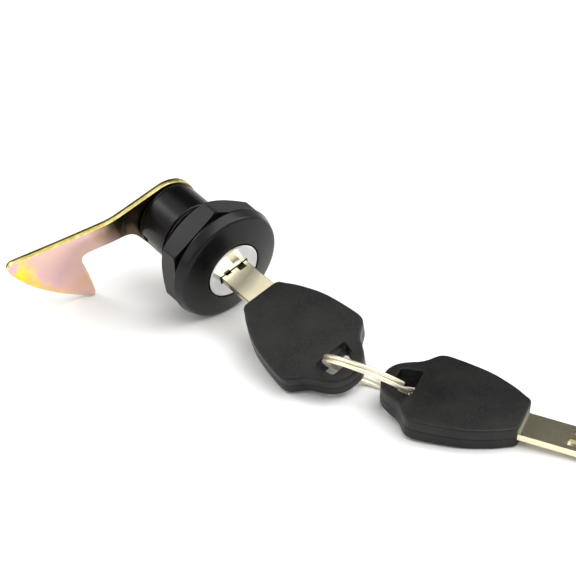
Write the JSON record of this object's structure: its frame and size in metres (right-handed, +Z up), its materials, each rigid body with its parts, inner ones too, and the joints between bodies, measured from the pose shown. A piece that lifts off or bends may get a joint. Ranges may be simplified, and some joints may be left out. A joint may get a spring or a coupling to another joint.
{
  "type": "cam lock",
  "caption": "Threaded-barrel cam lock with a domed flange, clamping nut and hook cam, a key in the plug and a spare key on a split ring.",
  "frame": {"origin": "Middle of the footprint, at the table the lock lies on; the lowest point is z = 0.", "axes": "+Z up. The lock's face looks along -Y and about 11 degrees down; the hook points along -X; both keys lie towards -Y."},
  "size_m": [0.0852, 0.1622, 0.0342],
  "materials": {
    "black_plastic": "satin black moulded plastic, fine grain",
    "bow_plastic": "matte dark grey moulded plastic",
    "rubber": "dull black",
    "zinc_alloy": "die-cast grey zinc alloy",
    "bright_nickel": "bright nickel plate",
    "brass": "stamped brass",
    "steel": "plain bright steel",
    "yellow_zinc": "yellow passivated zinc plate with pink and lilac patches"
  },
  "bodies": {
    "lock_body": {"housing": "black_plastic", "hex_nut": "black_plastic", "gasket": "rubber"},
    "turning_plug": {"plug": "zinc_alloy", "plug_cap": "bright_nickel", "stop_pin": "steel", "wafer_spring_1": "steel", "wafer_spring_2": "steel", "wafer_spring_3": "steel", "wafer_spring_4": "steel", "wafer_spring_5": "steel", "wafer_spring_6": "steel", "cam_hook": "yellow_zinc", "lock_washer": "steel", "cam_screw": "steel"},
    "key_in_lock": {"key_1_blade": "bright_nickel", "key_1_bow_upper": "bow_plastic", "key_1_bow_lower": "bow_plastic"},
    "ring": {"split_ring": "bright_nickel"},
    "spare_key": {"key_2_blade": "bright_nickel", "key_2_bow_upper": "bow_plastic", "key_2_bow_lower": "bow_plastic"},
    "wafer_body_1": {"wafer_1": "brass"},
    "wafer_body_2": {"wafer_2": "brass"},
    "wafer_body_3": {"wafer_3": "brass"},
    "wafer_body_4": {"wafer_4": "brass"},
    "wafer_body_5": {"wafer_5": "brass"},
    "wafer_body_6": {"wafer_6": "brass"}
  },
  "joints": [
    {"name": "plug_turn", "type": "hinge", "parent": "lock_body", "child": "turning_plug", "pos_m": [0.00566, 0.04311, 0.016], "axis": [0, 0.981, 0.1942], "range_deg": [0, 90]},
    {"name": "key_slide", "type": "slide", "parent": "turning_plug", "child": "key_in_lock", "axis": [0, -0.981, -0.1942], "range_m": [0, 0.028]},
    {"name": "wafer_1_slide", "type": "slide", "parent": "turning_plug", "child": "wafer_body_1", "axis": [-0.3315, -0.1833, 0.9255], "range_m": [0, 0.0009]},
    {"name": "wafer_2_slide", "type": "slide", "parent": "turning_plug", "child": "wafer_body_2", "axis": [0.3315, 0.1833, -0.9255], "range_m": [0, 0.0009]},
    {"name": "wafer_3_slide", "type": "slide", "parent": "turning_plug", "child": "wafer_body_3", "axis": [-0.3315, -0.1833, 0.9255], "range_m": [0, 0.0009]},
    {"name": "wafer_4_slide", "type": "slide", "parent": "turning_plug", "child": "wafer_body_4", "axis": [0.3315, 0.1833, -0.9255], "range_m": [0, 0.0009]},
    {"name": "wafer_5_slide", "type": "slide", "parent": "turning_plug", "child": "wafer_body_5", "axis": [-0.3315, -0.1833, 0.9255], "range_m": [0, 0.0009]},
    {"name": "wafer_6_slide", "type": "slide", "parent": "turning_plug", "child": "wafer_body_6", "axis": [0.3315, 0.1833, -0.9255], "range_m": [0, 0.0009]},
    {"name": "ring_turn", "type": "hinge", "parent": "key_in_lock", "child": "ring", "pos_m": [0.00517, -0.01239, 0.00888], "axis": [0.6581, 0.203, 0.7251], "range_deg": [-8, 8]},
    {"name": "spare_key_swing", "type": "hinge", "parent": "ring", "child": "spare_key", "pos_m": [0.01234, -0.02037, 0.00461], "axis": [0.4261, 0.6935, -0.5809], "range_deg": [-6, 6]}
  ],
  "couplings": [
    {"joint": "wafer_1_slide", "follows": "key_slide", "ratio": 0.032143},
    {"joint": "wafer_2_slide", "follows": "key_slide", "ratio": 0.032143},
    {"joint": "wafer_3_slide", "follows": "key_slide", "ratio": 0.032143},
    {"joint": "wafer_4_slide", "follows": "key_slide", "ratio": 0.032143},
    {"joint": "wafer_5_slide", "follows": "key_slide", "ratio": 0.032143},
    {"joint": "wafer_6_slide", "follows": "key_slide", "ratio": 0.032143}
  ]
}
